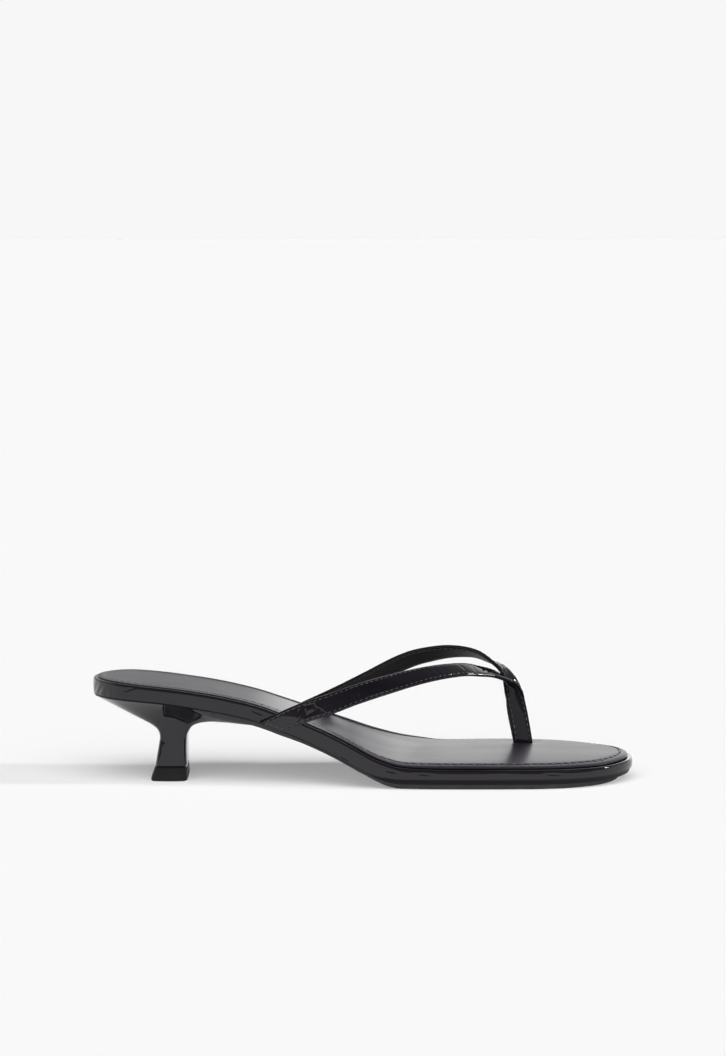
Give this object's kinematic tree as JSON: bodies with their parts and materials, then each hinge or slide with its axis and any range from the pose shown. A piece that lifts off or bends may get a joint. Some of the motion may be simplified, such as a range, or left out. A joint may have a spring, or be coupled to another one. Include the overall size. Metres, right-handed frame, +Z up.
{
  "type": "kitten-heel thong sandal",
  "caption": "Backless thong sandal with a low flared heel, padded insole, two thin patent straps and a toe post.",
  "frame": {"origin": "on the floor under the centre of the sandal's bounding box", "axes": "+X to the toe, +Y to the inner side of the foot, +Z up"},
  "size_m": [0.24, 0.078, 0.0562],
  "materials": {
    "outsole": "matte, very dark olive grey",
    "band_patent": "black patent leather, high gloss",
    "insole_leather": "smooth satin black leather",
    "heel_patent": "black patent leather over a hard heel, high gloss",
    "heel_tip": "matte black",
    "strap_patent": "black patent leather with fine creases"
  },
  "bodies": {
    "root": {"outsole": "outsole", "midsole": "band_patent", "insole": "insole_leather", "heel": "heel_patent", "heel_tip": "heel_tip", "upper": "strap_patent"}
  },
  "joints": []
}
